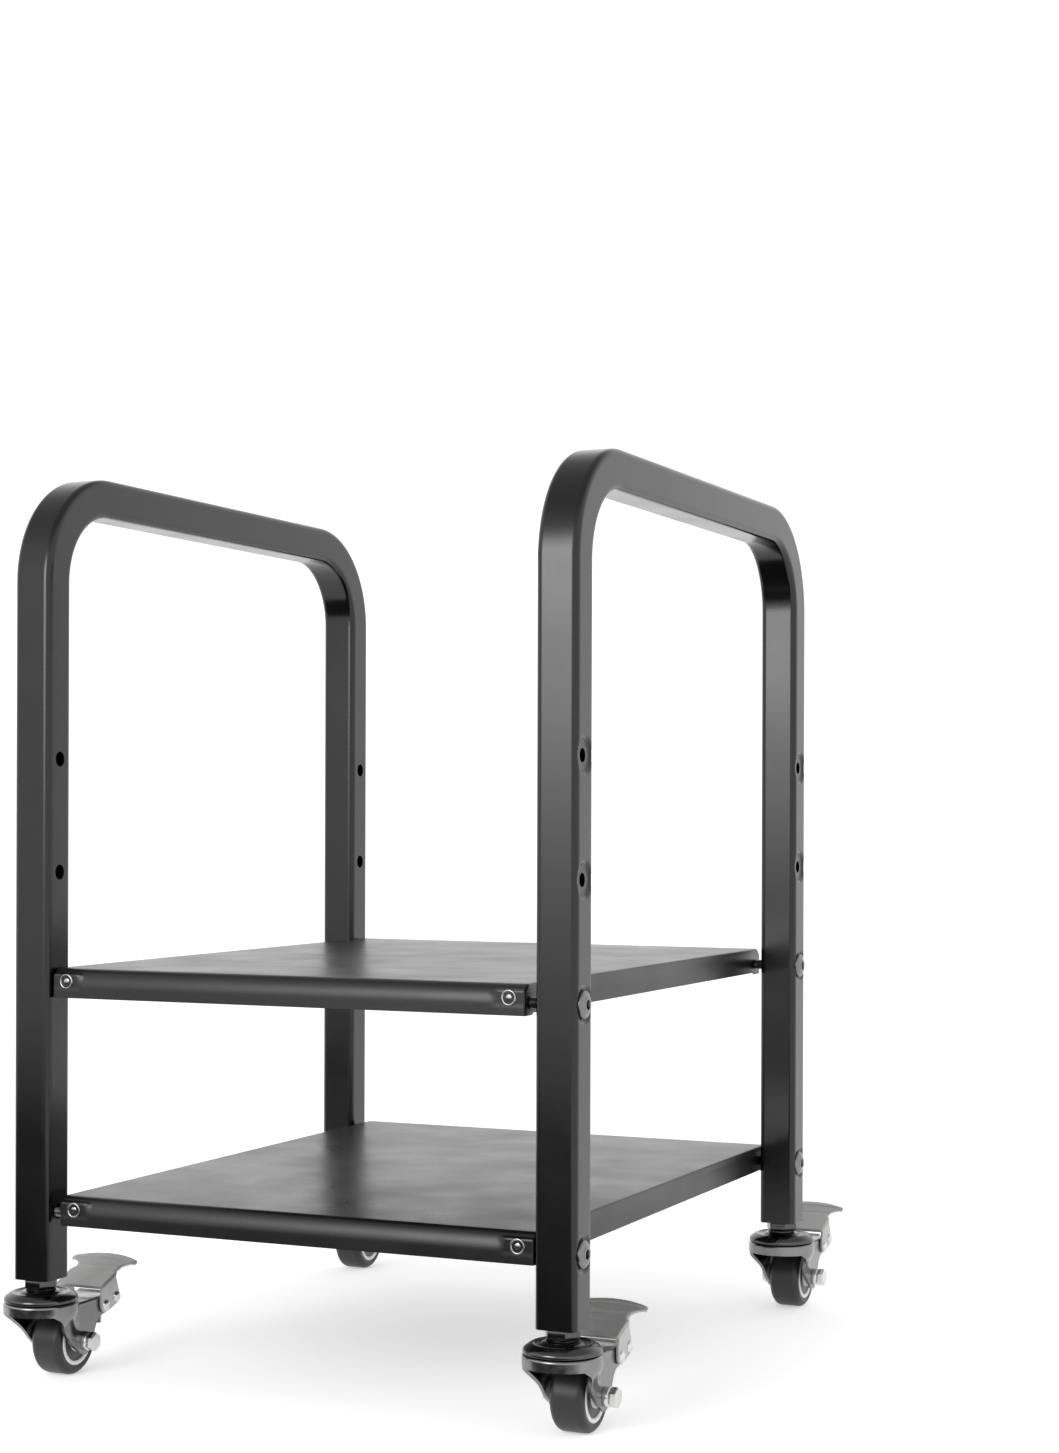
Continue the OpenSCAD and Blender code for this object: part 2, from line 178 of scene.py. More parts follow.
clear = add(tree, "ShaderNodeBsdfTransparent")
mix = add(tree, "ShaderNodeMixShader", [(fade.outputs[0], 0), (lit_paper.outputs[0], 1),
                                        (clear.outputs[0], 2)])
add(tree, "ShaderNodeOutputMaterial", [(mix.outputs[0], "Surface")])
floor.data.materials.append(floor_paper)

# ------------------------------------------------------------------------ side frames
# Each is one length of rectangular steel tube, bent twice on a mandrel into a U that
# stands on its ends, with its screw seats pressed in and pierced, then powder coated
# gloss black in an oven, which leaves a faint orange peel.

TUBE_X, TUBE_Y, TUBE_WALL, TUBE_CORNER = 22, 21, 1.2, 3.5
BEND_R = 60
SEAT_HEIGHTS = (91, 211, 271, 331)
SEAT_DEPTH, SEAT_FLOOR_R, SEAT_MOUTH_R = 1.6, 6.9, 9.6
OUTER_HOLE_R, INNER_HOLE_R = 3.5, 4.0
WARP_R = 7.0
leg_bottom = low_corner.z / MM
frame_top = high_corner.z / MM
frame_depth = (high_corner.y - low_corner.y) / MM
leg_x = (high_corner.x + low_corner.x) / 2 / MM
leg_y = (frame_depth - TUBE_Y) / 2
frame_shift = frame_mid_y / MM


def powder_coat(name, colour, roughness, peel, dust):
    """Baked powder coat: a smooth plastic film with orange peel 1 to 2 mm across, slight
    cloudiness in its gloss, and a trace of grey dust on faces that look up."""
    material = bpy.data.materials.new(name)
    tree = new_tree(material)
    place = add(tree, "ShaderNodeTexCoord").outputs["Object"]
    waves = add(tree, "ShaderNodeTexNoise", [(place, "Vector")], Scale=620.0, Detail=2.0)
    grains = add(tree, "ShaderNodeTexNoise", [(place, "Vector")], Scale=2600.0, Detail=1.0)
    clouds = add(tree, "ShaderNodeTexNoise", [(place, "Vector")], Scale=26.0, Detail=5.0)
    both = add(tree, "ShaderNodeMath", [(waves.outputs[0], 0), (grains.outputs[0], 1)],
               operation="ADD")
    bump = add(tree, "ShaderNodeBump", [(both.outputs[0], "Height")], Strength=peel,
               Distance=0.00006)
    gloss = add(tree, "ShaderNodeMapRange", [(clouds.outputs[0], "Value")])
    gloss.inputs["From Min"].default_value = 0.3
    gloss.inputs["From Max"].default_value = 0.7
    gloss.inputs["To Min"].default_value = roughness - 0.035
    gloss.inputs["To Max"].default_value = roughness + 0.045
    up = add(tree, "ShaderNodeSeparateXYZ",
             [(add(tree, "ShaderNodeNewGeometry").outputs["Normal"], "Vector")])
    settled = add(tree, "ShaderNodeMapRange", [(up.outputs["Z"], "Value")])
    settled.inputs["From Min"].default_value = 0.7
    settled.inputs["From Max"].default_value = 1.0
    settled.inputs["To Max"].default_value = dust
    lint = add(tree, "ShaderNodeMath", [(settled.outputs[0], 0), (clouds.outputs[0], 1)],
               operation="MULTIPLY")
    tint = add(tree, "ShaderNodeMix", [(lint.outputs[0], 0)], data_type="RGBA")
    tint.inputs["A"].default_value = to_linear(colour)
    tint.inputs["B"].default_value = to_linear("#8c8a86")
    skin = add(tree, "ShaderNodeBsdfPrincipled",
               [(tint.outputs["Result"], "Base Color"), (gloss.outputs[0], "Roughness"),
                (bump.outputs[0], "Normal")])
    skin.inputs["IOR"].default_value = 1.5
    add(tree, "ShaderNodeOutputMaterial", [(skin.outputs[0], "Surface")])
    return material


def settle(piece, material, sharp=32):
    """Applies the piece's modifiers, and gives it its material and crisp-edge shading."""
    if piece.modifiers:
        baked = bpy.data.meshes.new_from_object(
            piece.evaluated_get(bpy.context.evaluated_depsgraph_get()))
        piece.modifiers.clear()
        piece.data = baked
    piece.data.materials.clear()
    piece.data.materials.append(material)
    piece.data.shade_smooth()
    piece.data.set_sharp_from_angle(angle=math.radians(sharp))
    return piece


def spans(*stops):
    """Values from (start, end, count) runs, joined without repeats."""
    values = []
    for start, end, count in stops:
        values += [start + (end - start) * i / count for i in range(count + 1)]
    return sorted(set(round(v, 5) for v in values))


def smooth_step(value, start, end):
    share = min(1.0, max(0.0, (value - start) / (end - start)))
    return share * share * (3 - 2 * share)


def tube_ring():
    """Points round the tube's section, as (x, y, side), from the outer face round."""
    half_x, half_y = TUBE_X / 2, TUBE_Y / 2
    flat_x, flat_y = half_x - TUBE_CORNER, half_y - TUBE_CORNER
    across = spans((-flat_y, -OUTER_HOLE_R, 4), (-OUTER_HOLE_R, OUTER_HOLE_R, 6),
                   (OUTER_HOLE_R, flat_y, 4))
    plain = [-flat_x * 0.97, 0, flat_x * 0.97]
    ring = [(half_x, v) for v in across]
    corner_steps = 8

    def corner(mid_x, mid_y, start):
        for step in range(1, corner_steps):
            turn = start + math.pi / 2 * step / corner_steps
            ring.append((mid_x + TUBE_CORNER * math.cos(turn),
                         mid_y + TUBE_CORNER * math.sin(turn)))

    corner(flat_x, flat_y, 0)
    ring.extend((v, half_y) for v in [flat_x] + plain[::-1] + [-flat_x])
    corner(-flat_x, flat_y, math.pi / 2)
    ring.extend((-half_x, v) for v in reversed(across))
    corner(-flat_x, -flat_y, math.pi)
    ring.extend((v, -half_y) for v in [-flat_x] + plain + [flat_x])
    corner(flat_x, -flat_y, math.pi * 1.5)
    return ring


def tube_path():
    """Stations along the tube: (y, z, outward y, outward z), with rows close at the seats."""
    rows = [leg_bottom]
    for seat in SEAT_HEIGHTS:
        rows += [seat + v for v in spans((-11, -SEAT_FLOOR_R, 6), (-SEAT_FLOOR_R, -3.5, 4),
                                         (-OUTER_HOLE_R, OUTER_HOLE_R, 6),
                                         (3.5, SEAT_FLOOR_R, 4), (SEAT_FLOOR_R, 11, 6))]
    rows += spans((345, frame_top - BEND_R, 4))
    rows = sorted(set(rows))
    stations = [(-leg_y, z, -1.0, 0.0) for z in rows]
    bend_steps = 28
    mid_r = BEND_R - TUBE_Y / 2
    bend_y, bend_z = frame_depth / 2 - BEND_R, frame_top - BEND_R
    for step in range(1, bend_steps + 1):
        turn = math.pi / 2 * step / bend_steps
        stations.append((-bend_y - mid_r * math.cos(turn), bend_z + mid_r * math.sin(turn),
                         -math.cos(turn), math.sin(turn)))
    return stations + [(-y, z, -ny, nz) for y, z, ny, nz in reversed(stations)]


def side_frame(side):
    """Outer skin of one bent tube. Rows and columns near a seat are drawn into circles, so
    that its hole and its pressed mouth are round."""
    ring, stations = tube_ring(), tube_path()
    vertices = []
    for row, (y, z, out_y, out_z) in enumerate(stations):
        seat = min(SEAT_HEIGHTS, key=lambda h: abs(h - z)) if out_z == 0 else None
        for column, (x, across) in enumerate(ring):
            along = 0.0
            if seat is not None and abs(z - seat) < 11.5 and abs(x) > 7:
                rise = z - seat
                block = max(abs(across), abs(rise))
                if x > 0 or abs(across) < WARP_R + 0.1:
                    radius = math.hypot(across, rise)
                    pull = 1 - smooth_step(block, 4.6, WARP_R)
                    grow = 1.0 if x > 0 else INNER_HOLE_R / OUTER_HOLE_R
                    if radius > 0:
                        factor = 1 + pull * (block / radius * grow - 1)
                        across, along = across * factor, rise * (factor - 1)
                if x > 0:
                    radius = math.hypot(across, rise + along)
                    sink = SEAT_DEPTH * (1 - smooth_step(radius, SEAT_FLOOR_R, SEAT_MOUTH_R))
                    x = min(x, TUBE_X / 2 - sink)
            vertices.append((side * (leg_x + x), y + out_y * across + frame_shift,
                             z + along + out_z * across))
    faces = []
    count = len(ring)
    for row in range(len(stations) - 1):
        for column in range(count):
            after = (column + 1) % count
            (x0, a0), (x1, a1) = ring[column], ring[after]
            z0, z1 = stations[row][1], stations[row + 1][1]
            straight = stations[row][3] == 0 and stations[row + 1][3] == 0
            if straight and abs(x0) == TUBE_X / 2 and x0 == x1:
                near = min(SEAT_HEIGHTS, key=lambda h: abs(h - (z0 + z1) / 2))
                reach = max(abs(a0), abs(a1), abs(z0 - near), abs(z1 - near))
                if reach < OUTER_HOLE_R + 0.01:
                    continue
            quad = [row * count + column, row * count + after,
                    (row + 1) * count + after, (row + 1) * count + column]
            faces.append(quad if side > 0 else quad[::-1])
    mesh = bpy.data.meshes.new("tube")
    mesh.from_pydata([tuple(c * MM for c in v) for v in vertices], [], faces)
    builder = bmesh.new()
    builder.from_mesh(mesh)
    bmesh.ops.delete(builder, geom=[v for v in builder.verts if not v.link_faces],
                     context="VERTS")
    bmesh.ops.recalc_face_normals(builder, faces=builder.faces)
    builder.to_mesh(mesh)
    builder.free()
    return mesh


# Gloss black powder coat of the tubes
gloss_black = powder_coat("gloss_black_powder_coat", "#070708", 0.18, 0.25, 0.03)
for side, word in ((-1, "left"), (1, "right")):
    tube = add_object(f"tube_{word}", side_frame(side))
    wall = tube.modifiers.new("wall", "SOLIDIFY")
    wall.thickness = TUBE_WALL * MM
    wall.offset = -1
    wall.use_even_offset = True
    settle(tube, gloss_black)
    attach(tube, "root")
    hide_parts(f"side_frame_{word}")


# ---------------------------------------------------------------------------- shelves
# A shelf is one blank of 1.2 mm cold rolled steel, folded down on all four sides. Its
# front and back edges are rolled to a soft round, its side edges are folded sharp, and a
# flat is pressed at each end of a rolled edge for the rivet. It is coated satin black.

SHEET = 1.2
SHELF_W, FRONT_FLANGE, SIDE_FLANGE = 272.8, 15.5, 14.5
EDGE_R1, EDGE_R2, EDGE_TURN = 15.0, 5.0, math.radians(30)
FOLD_R = 2.0
RIVET_IN, RIVET_DROP = 8.6, 6.8
FLAT_W, FLAT_TOP, FLAT_LOW, FLAT_SINK = 14.5, -3.1, -10.5, 0.15
shelf_low, shelf_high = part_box("upper_shelf")
shelf_half = (shelf_high.y - shelf_low.y) / 2 / MM


def edge_section():
    """Points (y, z) up one flange, round its soft edge and on to the flat top."""
    step = EDGE_R1 - EDGE_R2
    low_y, low_z = shelf_half - EDGE_R1, -EDGE_R2 - step * math.sin(EDGE_TURN)
    top_y = shelf_half - EDGE_R1 + step * math.cos(EDGE_TURN)
    points = [(shelf_half, z) for z in spans((-FRONT_FLANGE, low_z, 5))]
    for turn in spans((EDGE_TURN / 12, EDGE_TURN, 11)):
        points.append((low_y + EDGE_R1 * math.cos(turn), low_z + EDGE_R1 * math.sin(turn)))
    for turn in spans((EDGE_TURN * 1.15, math.pi / 2, 14)):
        points.append((top_y + EDGE_R2 * math.cos(turn), -EDGE_R2 + EDGE_R2 * math.sin(turn)))
    return points


def shelf_mesh():
    """Outer skin of a shelf, its top at z = 0: edge sections along x, closed by two ends."""
    half_w = SHELF_W / 2
    fold_end, flat_end = -half_w + FOLD_R + 0.4, -half_w + FLAT_W
    ends = spans((-half_w, fold_end, 1), (fold_end, flat_end, 6),
                 (flat_end, flat_end + 7, 8), (flat_end + 7, 0, 6))
    columns = ends + [-x for x in reversed(ends[:-1])]
    front = edge_section()
    builder = bmesh.new()
    rows = []
    for x in columns:
        inset = half_w - abs(x)
        flat = 1 - smooth_step(inset, FLAT_W, FLAT_W + 5)
        row = []
        for side in (-1, 1):
            for y, z in (front if side < 0 else reversed(front)):
                in_flat = flat * smooth_step(-z, -FLAT_TOP - 0.9, -FLAT_TOP + 0.3)
                in_flat *= 1 - smooth_step(-z, -FLAT_LOW - 0.4, -FLAT_LOW + 0.8)
                seat = shelf_half - FLAT_SINK
                y += (seat - y) * in_flat
                row.append(builder.verts.new((x * MM, side * y * MM, z * MM)))
            if side < 0:
                for share in (0.25, 0.5, 0.75):
                    flat_y = front[-1][0] * (2 * share - 1)
                    row.append(builder.verts.new((x * MM, flat_y * MM, 0)))
        rows.append(row)
    for left, right in zip(rows, rows[1:]):
        for k in range(len(left) - 1):
            builder.faces.new((left[k], left[k + 1], right[k + 1], right[k]))
    caps = []
    for row in (rows[0], rows[-1]):
        x = row[0].co.x
        step_y = (shelf_half - 9) * MM
        foot = [builder.verts.new((x, y, z)) for y, z in
                ((step_y, -FRONT_FLANGE * MM), (step_y - 0.001, -SIDE_FLANGE * MM),
                 (0.001 - step_y, -SIDE_FLANGE * MM), (-step_y, -FRONT_FLANGE * MM))]
        caps.append(builder.faces.new(row + foot))
    bmesh.ops.recalc_face_normals(builder, faces=builder.faces)
    foot_z, face_y = -(FRONT_FLANGE - 0.01) * MM, shelf_half * MM
    rim = [e for cap in caps for e in cap.edges if not e.is_boundary
           and all(v.co.z > foot_z or abs(abs(v.co.y) - face_y) < 1e-6 for v in e.verts)]
    bmesh.ops.bevel(builder, geom=rim, offset=FOLD_R * MM, segments=5, profile=0.5,
                    affect="EDGES", clamp_overlap=True)
    top = sum(f.normal.z for f in builder.faces if abs(f.normal.z) > 0.9)
    if top < 0:
        bmesh.ops.reverse_faces(builder, faces=builder.faces)
    mesh = to_mesh(builder, "shelf")
    return mesh


# Satin black powder coat of the shelves
satin_black = powder_coat("satin_black_powder_coat", "#0e0e0f", 0.3, 0.4, 0.012)
for word in ("upper", "lower"):
    low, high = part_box(f"{word}_shelf")
    shelf = add_object(f"{word}_tray", shelf_mesh())
    shelf.data.transform(Matrix.Translation(((low.x + high.x) / 2, (low.y + high.y) / 2, high.z)))
    sheet = shelf.modifiers.new("sheet", "SOLIDIFY")
    sheet.thickness = SHEET * MM
    sheet.offset = -1
    sheet.use_even_offset = True
    settle(shelf, satin_black)
    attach(shelf, "root")
    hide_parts(f"{word}_shelf")

# ------------------------------------------------------------ rivets, bolts and weld nuts
# Tubular steel rivets, rolled over on the outside, close the corners of the shelves.
# Low domed M6 bolts with hexagon sockets, blackened, pass through the legs into weld
# nuts inside the side flanges.


def soft_profile(points, radius, steps=4):
    """The points with each inner corner of the line replaced by a small arc."""
    result = [points[0]]
    for before, here, after in zip(points, points[1:], points[2:]):
        a, b, c = Vector(before), Vector(here), Vector(after)
        cut = min(radius, (a - b).length * 0.45, (c - b).length * 0.45)
        start, end = b + (a - b).normalized() * cut, b + (c - b).normalized() * cut
        for k in range(steps + 1):
            t = k / steps
            result.append(tuple(start * (1 - t) ** 2 + b * 2 * t * (1 - t) + end * t * t))
    result.append(points[-1])
    return result


def lathe(name, profile, segments=64, closed=True):
    """Mesh turned about z from (radius, height) points in mm, with its faces outwards."""
    builder = bmesh.new()
    rings = []
    for radius, height_ in profile:
        if radius < 1e-6:
            rings.append([builder.verts.new((0, 0, height_ * MM))])
            continue
        rings.append([builder.verts.new((radius * MM * math.cos(2 * math.pi * k / segments),
                                         radius * MM * math.sin(2 * math.pi * k / segments),
                                         height_ * MM)) for k in range(segments)])
    pairs = list(zip(rings, rings[1:] + rings[:1]))
    if not closed:
        pairs.pop()
    for low, high in pairs:
        for k in range(segments):
            after = (k + 1) % segments
            corners = [low[k % len(low)], low[after % len(low)],
                       high[after % len(high)], high[k % len(high)]]
            kept = [v for i, v in enumerate(corners) if v not in corners[:i]]
            if len(kept) > 2:
                builder.faces.new(kept)
    bmesh.ops.recalc_face_normals(builder, faces=builder.faces)
    return to_mesh(builder, name)


def prism(name, outline, low, high, bevel=0.0, segments=2):
    """Solid from an (x, y) outline in mm between two heights, with its rims bevelled."""
    builder = bmesh.new()
    bottom = [builder.verts.new((x * MM, y * MM, low * MM)) for x, y in outline]
    top = [builder.verts.new((x * MM, y * MM, high * MM)) for x, y in outline]
    caps = [builder.faces.new(bottom[::-1]), builder.faces.new(top)]
    for k in range(len(outline)):
        after = (k + 1) % len(outline)
        builder.faces.new((bottom[k], bottom[after], top[after], top[k]))
    bmesh.ops.recalc_face_normals(builder, faces=builder.faces)
    if bevel:
        rims = [e for cap in caps for e in cap.edges]
        bmesh.ops.bevel(builder, geom=rims, offset=bevel * MM, segments=segments,
                        profile=0.5, affect="EDGES", clamp_overlap=True)
    return to_mesh(builder, name)


def join(name, *meshes):
    """One mesh that holds all the given ones."""
    builder = bmesh.new()
    for mesh in meshes:
        builder.from_mesh(mesh)
    return to_mesh(builder, name)


def hexagon(across_flats):
    """Outline of a hexagon, its corners on the x axis."""
    return [(across_flats / math.sqrt(3) * math.cos(math.pi * k / 3),
             across_flats / math.sqrt(3) * math.sin(math.pi * k / 3)) for k in range(6)]


def plated_steel(name, colour, roughness, grain, spangle):
    """Plated steel: a metal skin, cloudy from the bath, with fine scratches of handling."""
    material = bpy.data.materials.new(name)
    tree = new_tree(material)
    place = add(tree, "ShaderNodeTexCoord").outputs["Object"]
    clouds = add(tree, "ShaderNodeTexNoise", [(place, "Vector")], Scale=240.0, Detail=4.0)
    scratches = add(tree, "ShaderNodeTexNoise", [(place, "Vector")], Scale=1500.0, Detail=3.0,
                    Distortion=1.6)
    gloss = add(tree, "ShaderNodeMapRange", [(clouds.outputs[0], "Value")])
    gloss.inputs["From Min"].default_value = 0.3
    gloss.inputs["From Max"].default_value = 0.7
    gloss.inputs["To Min"].default_value = roughness * 0.75
    gloss.inputs["To Max"].default_value = roughness * 1.35
    bump = add(tree, "ShaderNodeBump", [(scratches.outputs[0], "Height")], Strength=grain,
               Distance=0.00004)
    tint = add(tree, "ShaderNodeMix", [(clouds.outputs[0], 0)], data_type="RGBA")
    base = to_linear(colour)
    tint.inputs["A"].default_value = tuple(v * (1 - spangle) for v in base[:3]) + (1,)
    tint.inputs["B"].default_value = tuple(min(1, v * (1 + spangle)) for v in base[:3]) + (1,)
    skin = add(tree, "ShaderNodeBsdfPrincipled",
               [(tint.outputs["Result"], "Base Color"), (gloss.outputs[0], "Roughness"),
                (bump.outputs[0], "Normal")])
    skin.inputs["Metallic"].default_value = 1.0
    add(tree, "ShaderNodeOutputMaterial", [(skin.outputs[0], "Surface")])
    return material


def spread_tree():
    """Geometry nodes that set a fastener on every point, turned to the point's facing."""
    tree = bpy.data.node_groups.new("set_fasteners", "GeometryNodeTree")
    face = tree.interface
    face.new_socket("Geometry", in_out="INPUT", socket_type="NodeSocketGeometry")
    face.new_socket("Fastener", in_out="INPUT", socket_type="NodeSocketObject")
    face.new_socket("Finish", in_out="INPUT", socket_type="NodeSocketMaterial")
    face.new_socket("Geometry", in_out="OUTPUT", socket_type="NodeSocketGeometry")
    given = add(tree, "NodeGroupInput")
    source = add(tree, "GeometryNodeObjectInfo", [(given.outputs["Fastener"], "Object")])
    facing = add(tree, "GeometryNodeInputNamedAttribute", data_type="FLOAT_VECTOR")
    facing.inputs["Name"].default_value = "facing"
    turn = add(tree, "FunctionNodeAlignRotationToVector", [(facing.outputs[0], "Vector")],
               axis="Z")
    placed = add(tree, "GeometryNodeInstanceOnPoints",
                 [(given.outputs["Geometry"], "Points"), (source.outputs["Geometry"], "Instance"),
                  (turn.outputs[0], "Rotation")])
    real = add(tree, "GeometryNodeRealizeInstances", [(placed.outputs[0], "Geometry")])
    done = add(tree, "GeometryNodeSetMaterial", [(real.outputs[0], "Geometry"),
                                                 (given.outputs["Finish"], "Material")])
    add(tree, "NodeGroupOutput", [(done.outputs[0], "Geometry")])
    return tree


def run_nodes(piece, tree, values):
    """Puts a node group on the piece, with its named inputs set."""
    nodes = piece.modifiers.new(tree.name, "NODES")
    nodes.node_group = tree
    for item in tree.interface.items_tree:
        if item.in_out == "INPUT" and item.name in values:
            nodes[item.identifier] = values[item.name]


fastener_tree = spread_tree()


def set_fasteners(name, fastener_mesh, spots, finish, sharp=32):
    """One piece with the fastener at each (place in metres, facing direction) spot."""
    source = add_object(f"{name}_pattern", fastener_mesh)
    points = bpy.data.meshes.new(name)
    points.from_pydata([place for place, facing in spots], [], [])
    facing = points.attributes.new("facing", "FLOAT_VECTOR", "POINT")
    facing.data.foreach_set("vector", [c for place, way in spots for c in way])
    piece = add_object(name, points)
    run_nodes(piece, fastener_tree, {"Fastener": source, "Finish": finish})
    settle(piece, finish, sharp)
    bpy.data.objects.remove(source)
    return piece


# Bright zinc for nuts and rivets, black zinc for the leg bolts
bright_zinc = plated_steel("bright_zinc_plate", "#d4d4d3", 0.2, 0.5, 0.12)
black_zinc = plated_steel("black_zinc_plate", "#7b7b7c", 0.27, 0.5, 0.15)
shelf_places = []
for word in ("upper", "lower"):
    low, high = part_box(f"{word}_shelf")
    shelf_places.append(((low.x + high.x) / 2, (low.y + high.y) / 2, high.z))

# Bright nickel for the tubular rivets at the shelf corners
bright_nickel = plated_steel("bright_nickel_plate", "#a8a8a8", 0.18, 0.4, 0.1)
rivet_line = soft_profile([(4.0, -0.15), (3.98, 0.45), (3.45, 0.7), (2.9, 0.35),
                           (2.75, -1.5), (2.2, -1.5), (2.1, -0.5)], 0.35, 4)
rivet_line += [(2.1 * math.cos(a), 0.75 * math.sin(a) - 0.5)
               for a in (math.radians(d) for d in range(15, 91, 15))]
rivet = lathe("rivet", rivet_line, 48, closed=False)
rivet_spots = [((x + i * (SHELF_W / 2 - RIVET_IN) * MM, y + j * (shelf_half - FLAT_SINK) * MM,
                 z - RIVET_DROP * MM), (0, j, 0))
               for x, y, z in shelf_places for i in (-1, 1) for j in (-1, 1)]
rivets = set_fasteners("corner_rivets", rivet, rivet_spots, bright_nickel)
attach(rivets, "root")
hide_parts("shelf_rivets")


def socket_bolt():
    """Domed head with a hexagon socket, and its threaded shank."""
    head_r, head_h, socket, depth = 7.0, 3.6, 4.6, 2.6
    dome = [(head_r, 0.0), (head_r, 1.5)]
    dome += [(head_r * math.cos(a), 1.5 + (head_h - 1.5) * math.sin(a))
             for a in (math.radians(d) for d in range(12, 66, 9))]
    head = lathe("bolt_head", [(2.9, 0.0)] + dome + [(3.6, head_h - 0.06)], 48, closed=False)
    builder = bmesh.new()
    builder.from_mesh(head)
    rim_loop = sorted((v for v in builder.verts if abs(v.co.z - (head_h - 0.06) * MM) < 1e-7),
                      key=lambda v: math.atan2(v.co.y, v.co.x))
    levels = []
    for drop, scale in ((0.0, 1.06), (0.25, 1.0), (depth, 1.0)):
        level = []
        for v in rim_loop:
            angle = math.atan2(v.co.y, v.co.x)
            r = socket / 2 / math.cos(angle % (math.pi / 3) - math.pi / 6) * scale * MM
            level.append(builder.verts.new((r * math.cos(angle), r * math.sin(angle),
                                            (head_h - 0.02 - drop) * MM)))
        levels.append(level)
    loops = [rim_loop] + levels
    for outer, inner in zip(loops, loops[1:]):
        for k in range(len(outer)):
            after = (k + 1) % len(outer)
            builder.faces.new((outer[k], outer[after], inner[after], inner[k]))
    builder.faces.new(levels[-1])
    bmesh.ops.recalc_face_normals(builder, faces=builder.faces)
    mesh = to_mesh(builder, "bolt_head")
    thread = [(2.9, 0.0)]
    for k in range(31):
        thread += [(3.0, -k - 0.25), (2.6, -k - 0.75)]
    shank = lathe("shank", thread + [(2.4, -31.6), (0, -31.9)], 24, closed=False)
    return join("socket_bolt", mesh, shank)


outer_face = high_corner.x
bolt_spots = [((i * (outer_face - SEAT_DEPTH * MM), frame_mid_y + j * leg_y * MM, seat * MM),
               (i, 0, 0)) for i in (-1, 1) for j in (-1, 1) for seat in SEAT_HEIGHTS[:2]]
bolts = set_fasteners("domed_leg_bolts", socket_bolt(), bolt_spots, black_zinc)
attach(bolts, "root")
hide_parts("leg_bolts")
for name in ("shelf_nuts", "leg_inserts"):
    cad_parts[name].data.materials.clear()
    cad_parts[name].data.materials.append(bright_zinc)

# ----------------------------------------------------------------- casters: fixed parts
# Each stem screws into its leg. A hexagon lock nut holds it, and its collar clamps the
# pressed bearing cap. Cap, nut and fork are stamped steel, plated in black nickel.

LEGS = {"front_left": (-1, -1), "front_right": (1, -1), "back_left": (-1, 1),
        "back_right": (1, 1)}
# Black nickel: polished for cap, nut and stem; satin for the fork, painted paler for the light on
# its cheeks
black_nickel = plated_steel("black_nickel_plate", "#565657", 0.14, 0.25, 0.1)
fork_nickel_painted_light = plated_steel("satin_black_nickel_painted_light", "#858586", 0.2, 0.3, 0.1)


def on_each_leg(name, mesh, body, finish, replaced, sharp=32):
    """Sets a copy of a caster part at each leg, riding on that leg's body."""
    for leg, (i, j) in LEGS.items():
        copy = mesh.copy()
        copy.transform(Matrix.Translation((i * leg_x * MM, frame_mid_y + j * leg_y * MM, 0)))
        piece = add_object(f"{name}_{leg}", copy)
        settle(piece, finish, sharp)
        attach(piece, body.format(leg=leg))
        if replaced:
            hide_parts(f"{replaced}_{leg}")


cap_line = soft_profile([(4.1, 47.2), (4.1, 48.6), (9.4, 48.6), (11.2, 47.1), (13.0, 47.1),
                         (14.6, 48.1), (16.2, 47.7), (18.4, 46.3), (19.6, 44.9),
                         (19.6, 43.2), (18.4, 43.2), (18.3, 44.4), (17.2, 45.5),
                         (15.6, 46.4), (11.0, 45.7), (8.8, 47.2)], 1.1)
on_each_leg("pressed_cap", lathe("cap", cap_line, 96), "root", black_nickel,
            "bearing_cap", 50)

nut = prism("lock_nut", hexagon(16), 50.0, 54.9, 0.7, 3)
spots = [((i * leg_x * MM, frame_mid_y + j * leg_y * MM, 0), (0, 0, 1))
         for i, j in LEGS.values()]
lock_nuts = set_fasteners("stem_lock_nuts", nut, spots, black_nickel)
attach(lock_nuts, "root")
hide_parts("lock_nuts")
stem_line = [(0, 36.3), (5.2, 36.4), (6.4, 37.0), (6.5, 38.1), (4.0, 38.1), (4.0, 48.6),
             (7.6, 48.65), (8.0, 49.0), (8.0, 49.6), (7.6, 49.95), (5.0, 50.0)]
for k in range(16):
    stem_line += [(5.0, 50.2 + k), (4.45, 50.7 + k)]
stem_line += [(4.2, 66.2), (0, 66.6)]
stems = set_fasteners("threaded_stems", lathe("stem", stem_line, 48, closed=False), spots,
                      black_nickel)
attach(stems, "root")
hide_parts("caster_stems")

# ------------------------------------------------------------- casters: ball race and fork
# The fork is pressed from one sheet: a round pan for the ball race that draws in to two
# flat cheeks for the axle. Hardened balls run between the pan and the cap.

pan_line = soft_profile([(4.3, 40.0), (4.3, 41.9), (17.0, 41.9), (17.5, 42.8), (18.6, 42.9),
                         (19.8, 42.0), (19.85, 37.9), (18.1, 37.9), (18.0, 39.9)], 0.9)
pan = lathe("pan", pan_line, 96)

CHEEK_X, FORK_T = 13.8, 1.8
AXLE_Y, AXLE_Z = 21.0, 18.5
PIVOT_PIN, SHOE_PIN = (38, 34.5), (48.5, 37.5)
cheek_bottom = [(-19.55, 36.9), (-11.5, 36.7), (-9.0, 35.1), (14.4, 14.7), (16.5, 12.5),
                (21.0, 10.9), (25.5, 12.5), (28.2, 16.2), (29.4, 21.0), (31.6, 26.0),
                (35.0, 29.2), (40.5, 30.2), (42.6, 32.0), (43.0, 33.4)]


def cheek_low(y):
    """Height of the cheek's lower edge at y."""
    for (y0, z0), (y1, z1) in zip(cheek_bottom, cheek_bottom[1:]):
        if y <= y1:
            return z0 + (z1 - z0) * (smooth_step(y, y0, y1) + (y - y0) / (y1 - y0)) / 2
    return cheek_bottom[-1][1]


